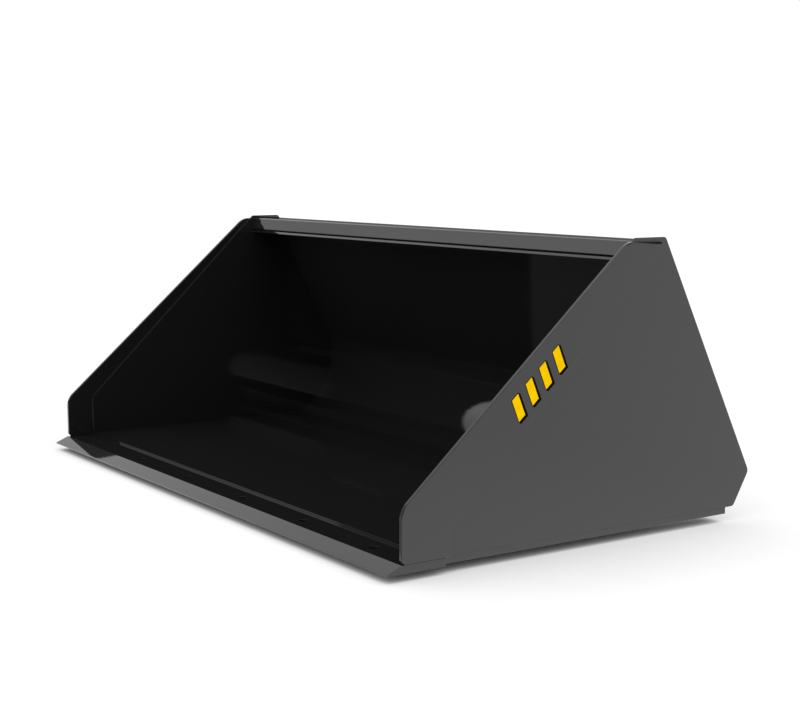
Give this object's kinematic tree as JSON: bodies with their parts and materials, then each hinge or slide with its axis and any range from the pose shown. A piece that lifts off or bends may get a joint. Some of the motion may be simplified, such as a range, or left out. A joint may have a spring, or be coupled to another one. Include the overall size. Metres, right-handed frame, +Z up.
{
  "type": "skid steer bucket",
  "caption": "Wide open-fronted loader bucket with sloping side plates, a bevelled and drilled cutting edge, a rolled heel, a top rail and a rear quick-coupler frame.",
  "frame": {"origin": "on the ground, half way across the bucket and half way from the tip of the cutting edge to the back of the coupler lip", "axes": "+X across the bucket, -Y towards the mouth, +Y towards the machine, +Z up from the ground with the floor level"},
  "size_m": [1.8488, 1.09, 0.6885],
  "materials": {
    "gloss_black_paint": "gloss black paint",
    "mark_border": "black printed film",
    "mark_yellow": "yellow printed film"
  },
  "bodies": {
    "root": {"cutting_edge": "gloss_black_paint", "floor_sheet": "gloss_black_paint", "heel_sheet": "gloss_black_paint", "back_sheet": "gloss_black_paint", "top_rail": "gloss_black_paint", "rail_plate": "gloss_black_paint", "side_sheet_left": "gloss_black_paint", "side_sheet_right": "gloss_black_paint", "side_cutter_left": "gloss_black_paint", "side_cutter_right": "gloss_black_paint", "outer_wear_bar_left": "gloss_black_paint", "outer_wear_bar_right": "gloss_black_paint", "inner_wear_bar_left": "gloss_black_paint", "inner_wear_bar_right": "gloss_black_paint", "coupler_hook": "gloss_black_paint", "coupler_lip": "gloss_black_paint", "coupler_upright_left": "gloss_black_paint", "coupler_upright_right": "gloss_black_paint", "outer_rib_left": "gloss_black_paint", "outer_rib_right": "gloss_black_paint", "inner_rib_left": "gloss_black_paint", "inner_rib_right": "gloss_black_paint", "cross_tube": "gloss_black_paint", "mark_border_left": "mark_border", "mark_border_right": "mark_border", "mark_stripes_left": "mark_yellow", "mark_stripes_right": "mark_yellow"}
  },
  "joints": []
}
